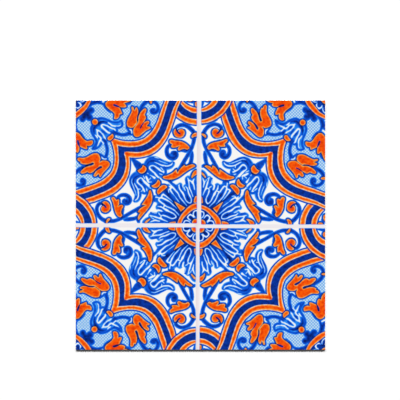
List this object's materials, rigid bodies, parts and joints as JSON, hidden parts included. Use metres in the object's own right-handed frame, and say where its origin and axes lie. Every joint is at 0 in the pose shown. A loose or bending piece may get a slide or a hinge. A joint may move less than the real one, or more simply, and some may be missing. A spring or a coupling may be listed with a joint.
{
  "type": "peel and stick tile",
  "caption": "Thin square self-adhesive vinyl tile, printed with a traditional azulejo pattern of blue, orange and white quarters meeting at printed joints, for sticking flat on a wall.",
  "frame": {"origin": "middle of the backing, the face that goes on the wall", "axes": "+Z out of the printed face, +Y towards the top edge in the picture, +X towards its right edge"},
  "size_m": [0.1524, 0.1524, 0.0003],
  "materials": {
    "printed_vinyl": "satin laminate over a printed face, plain backing paper behind"
  },
  "bodies": {
    "root": {"vinyl_tile": "printed_vinyl"}
  },
  "joints": []
}
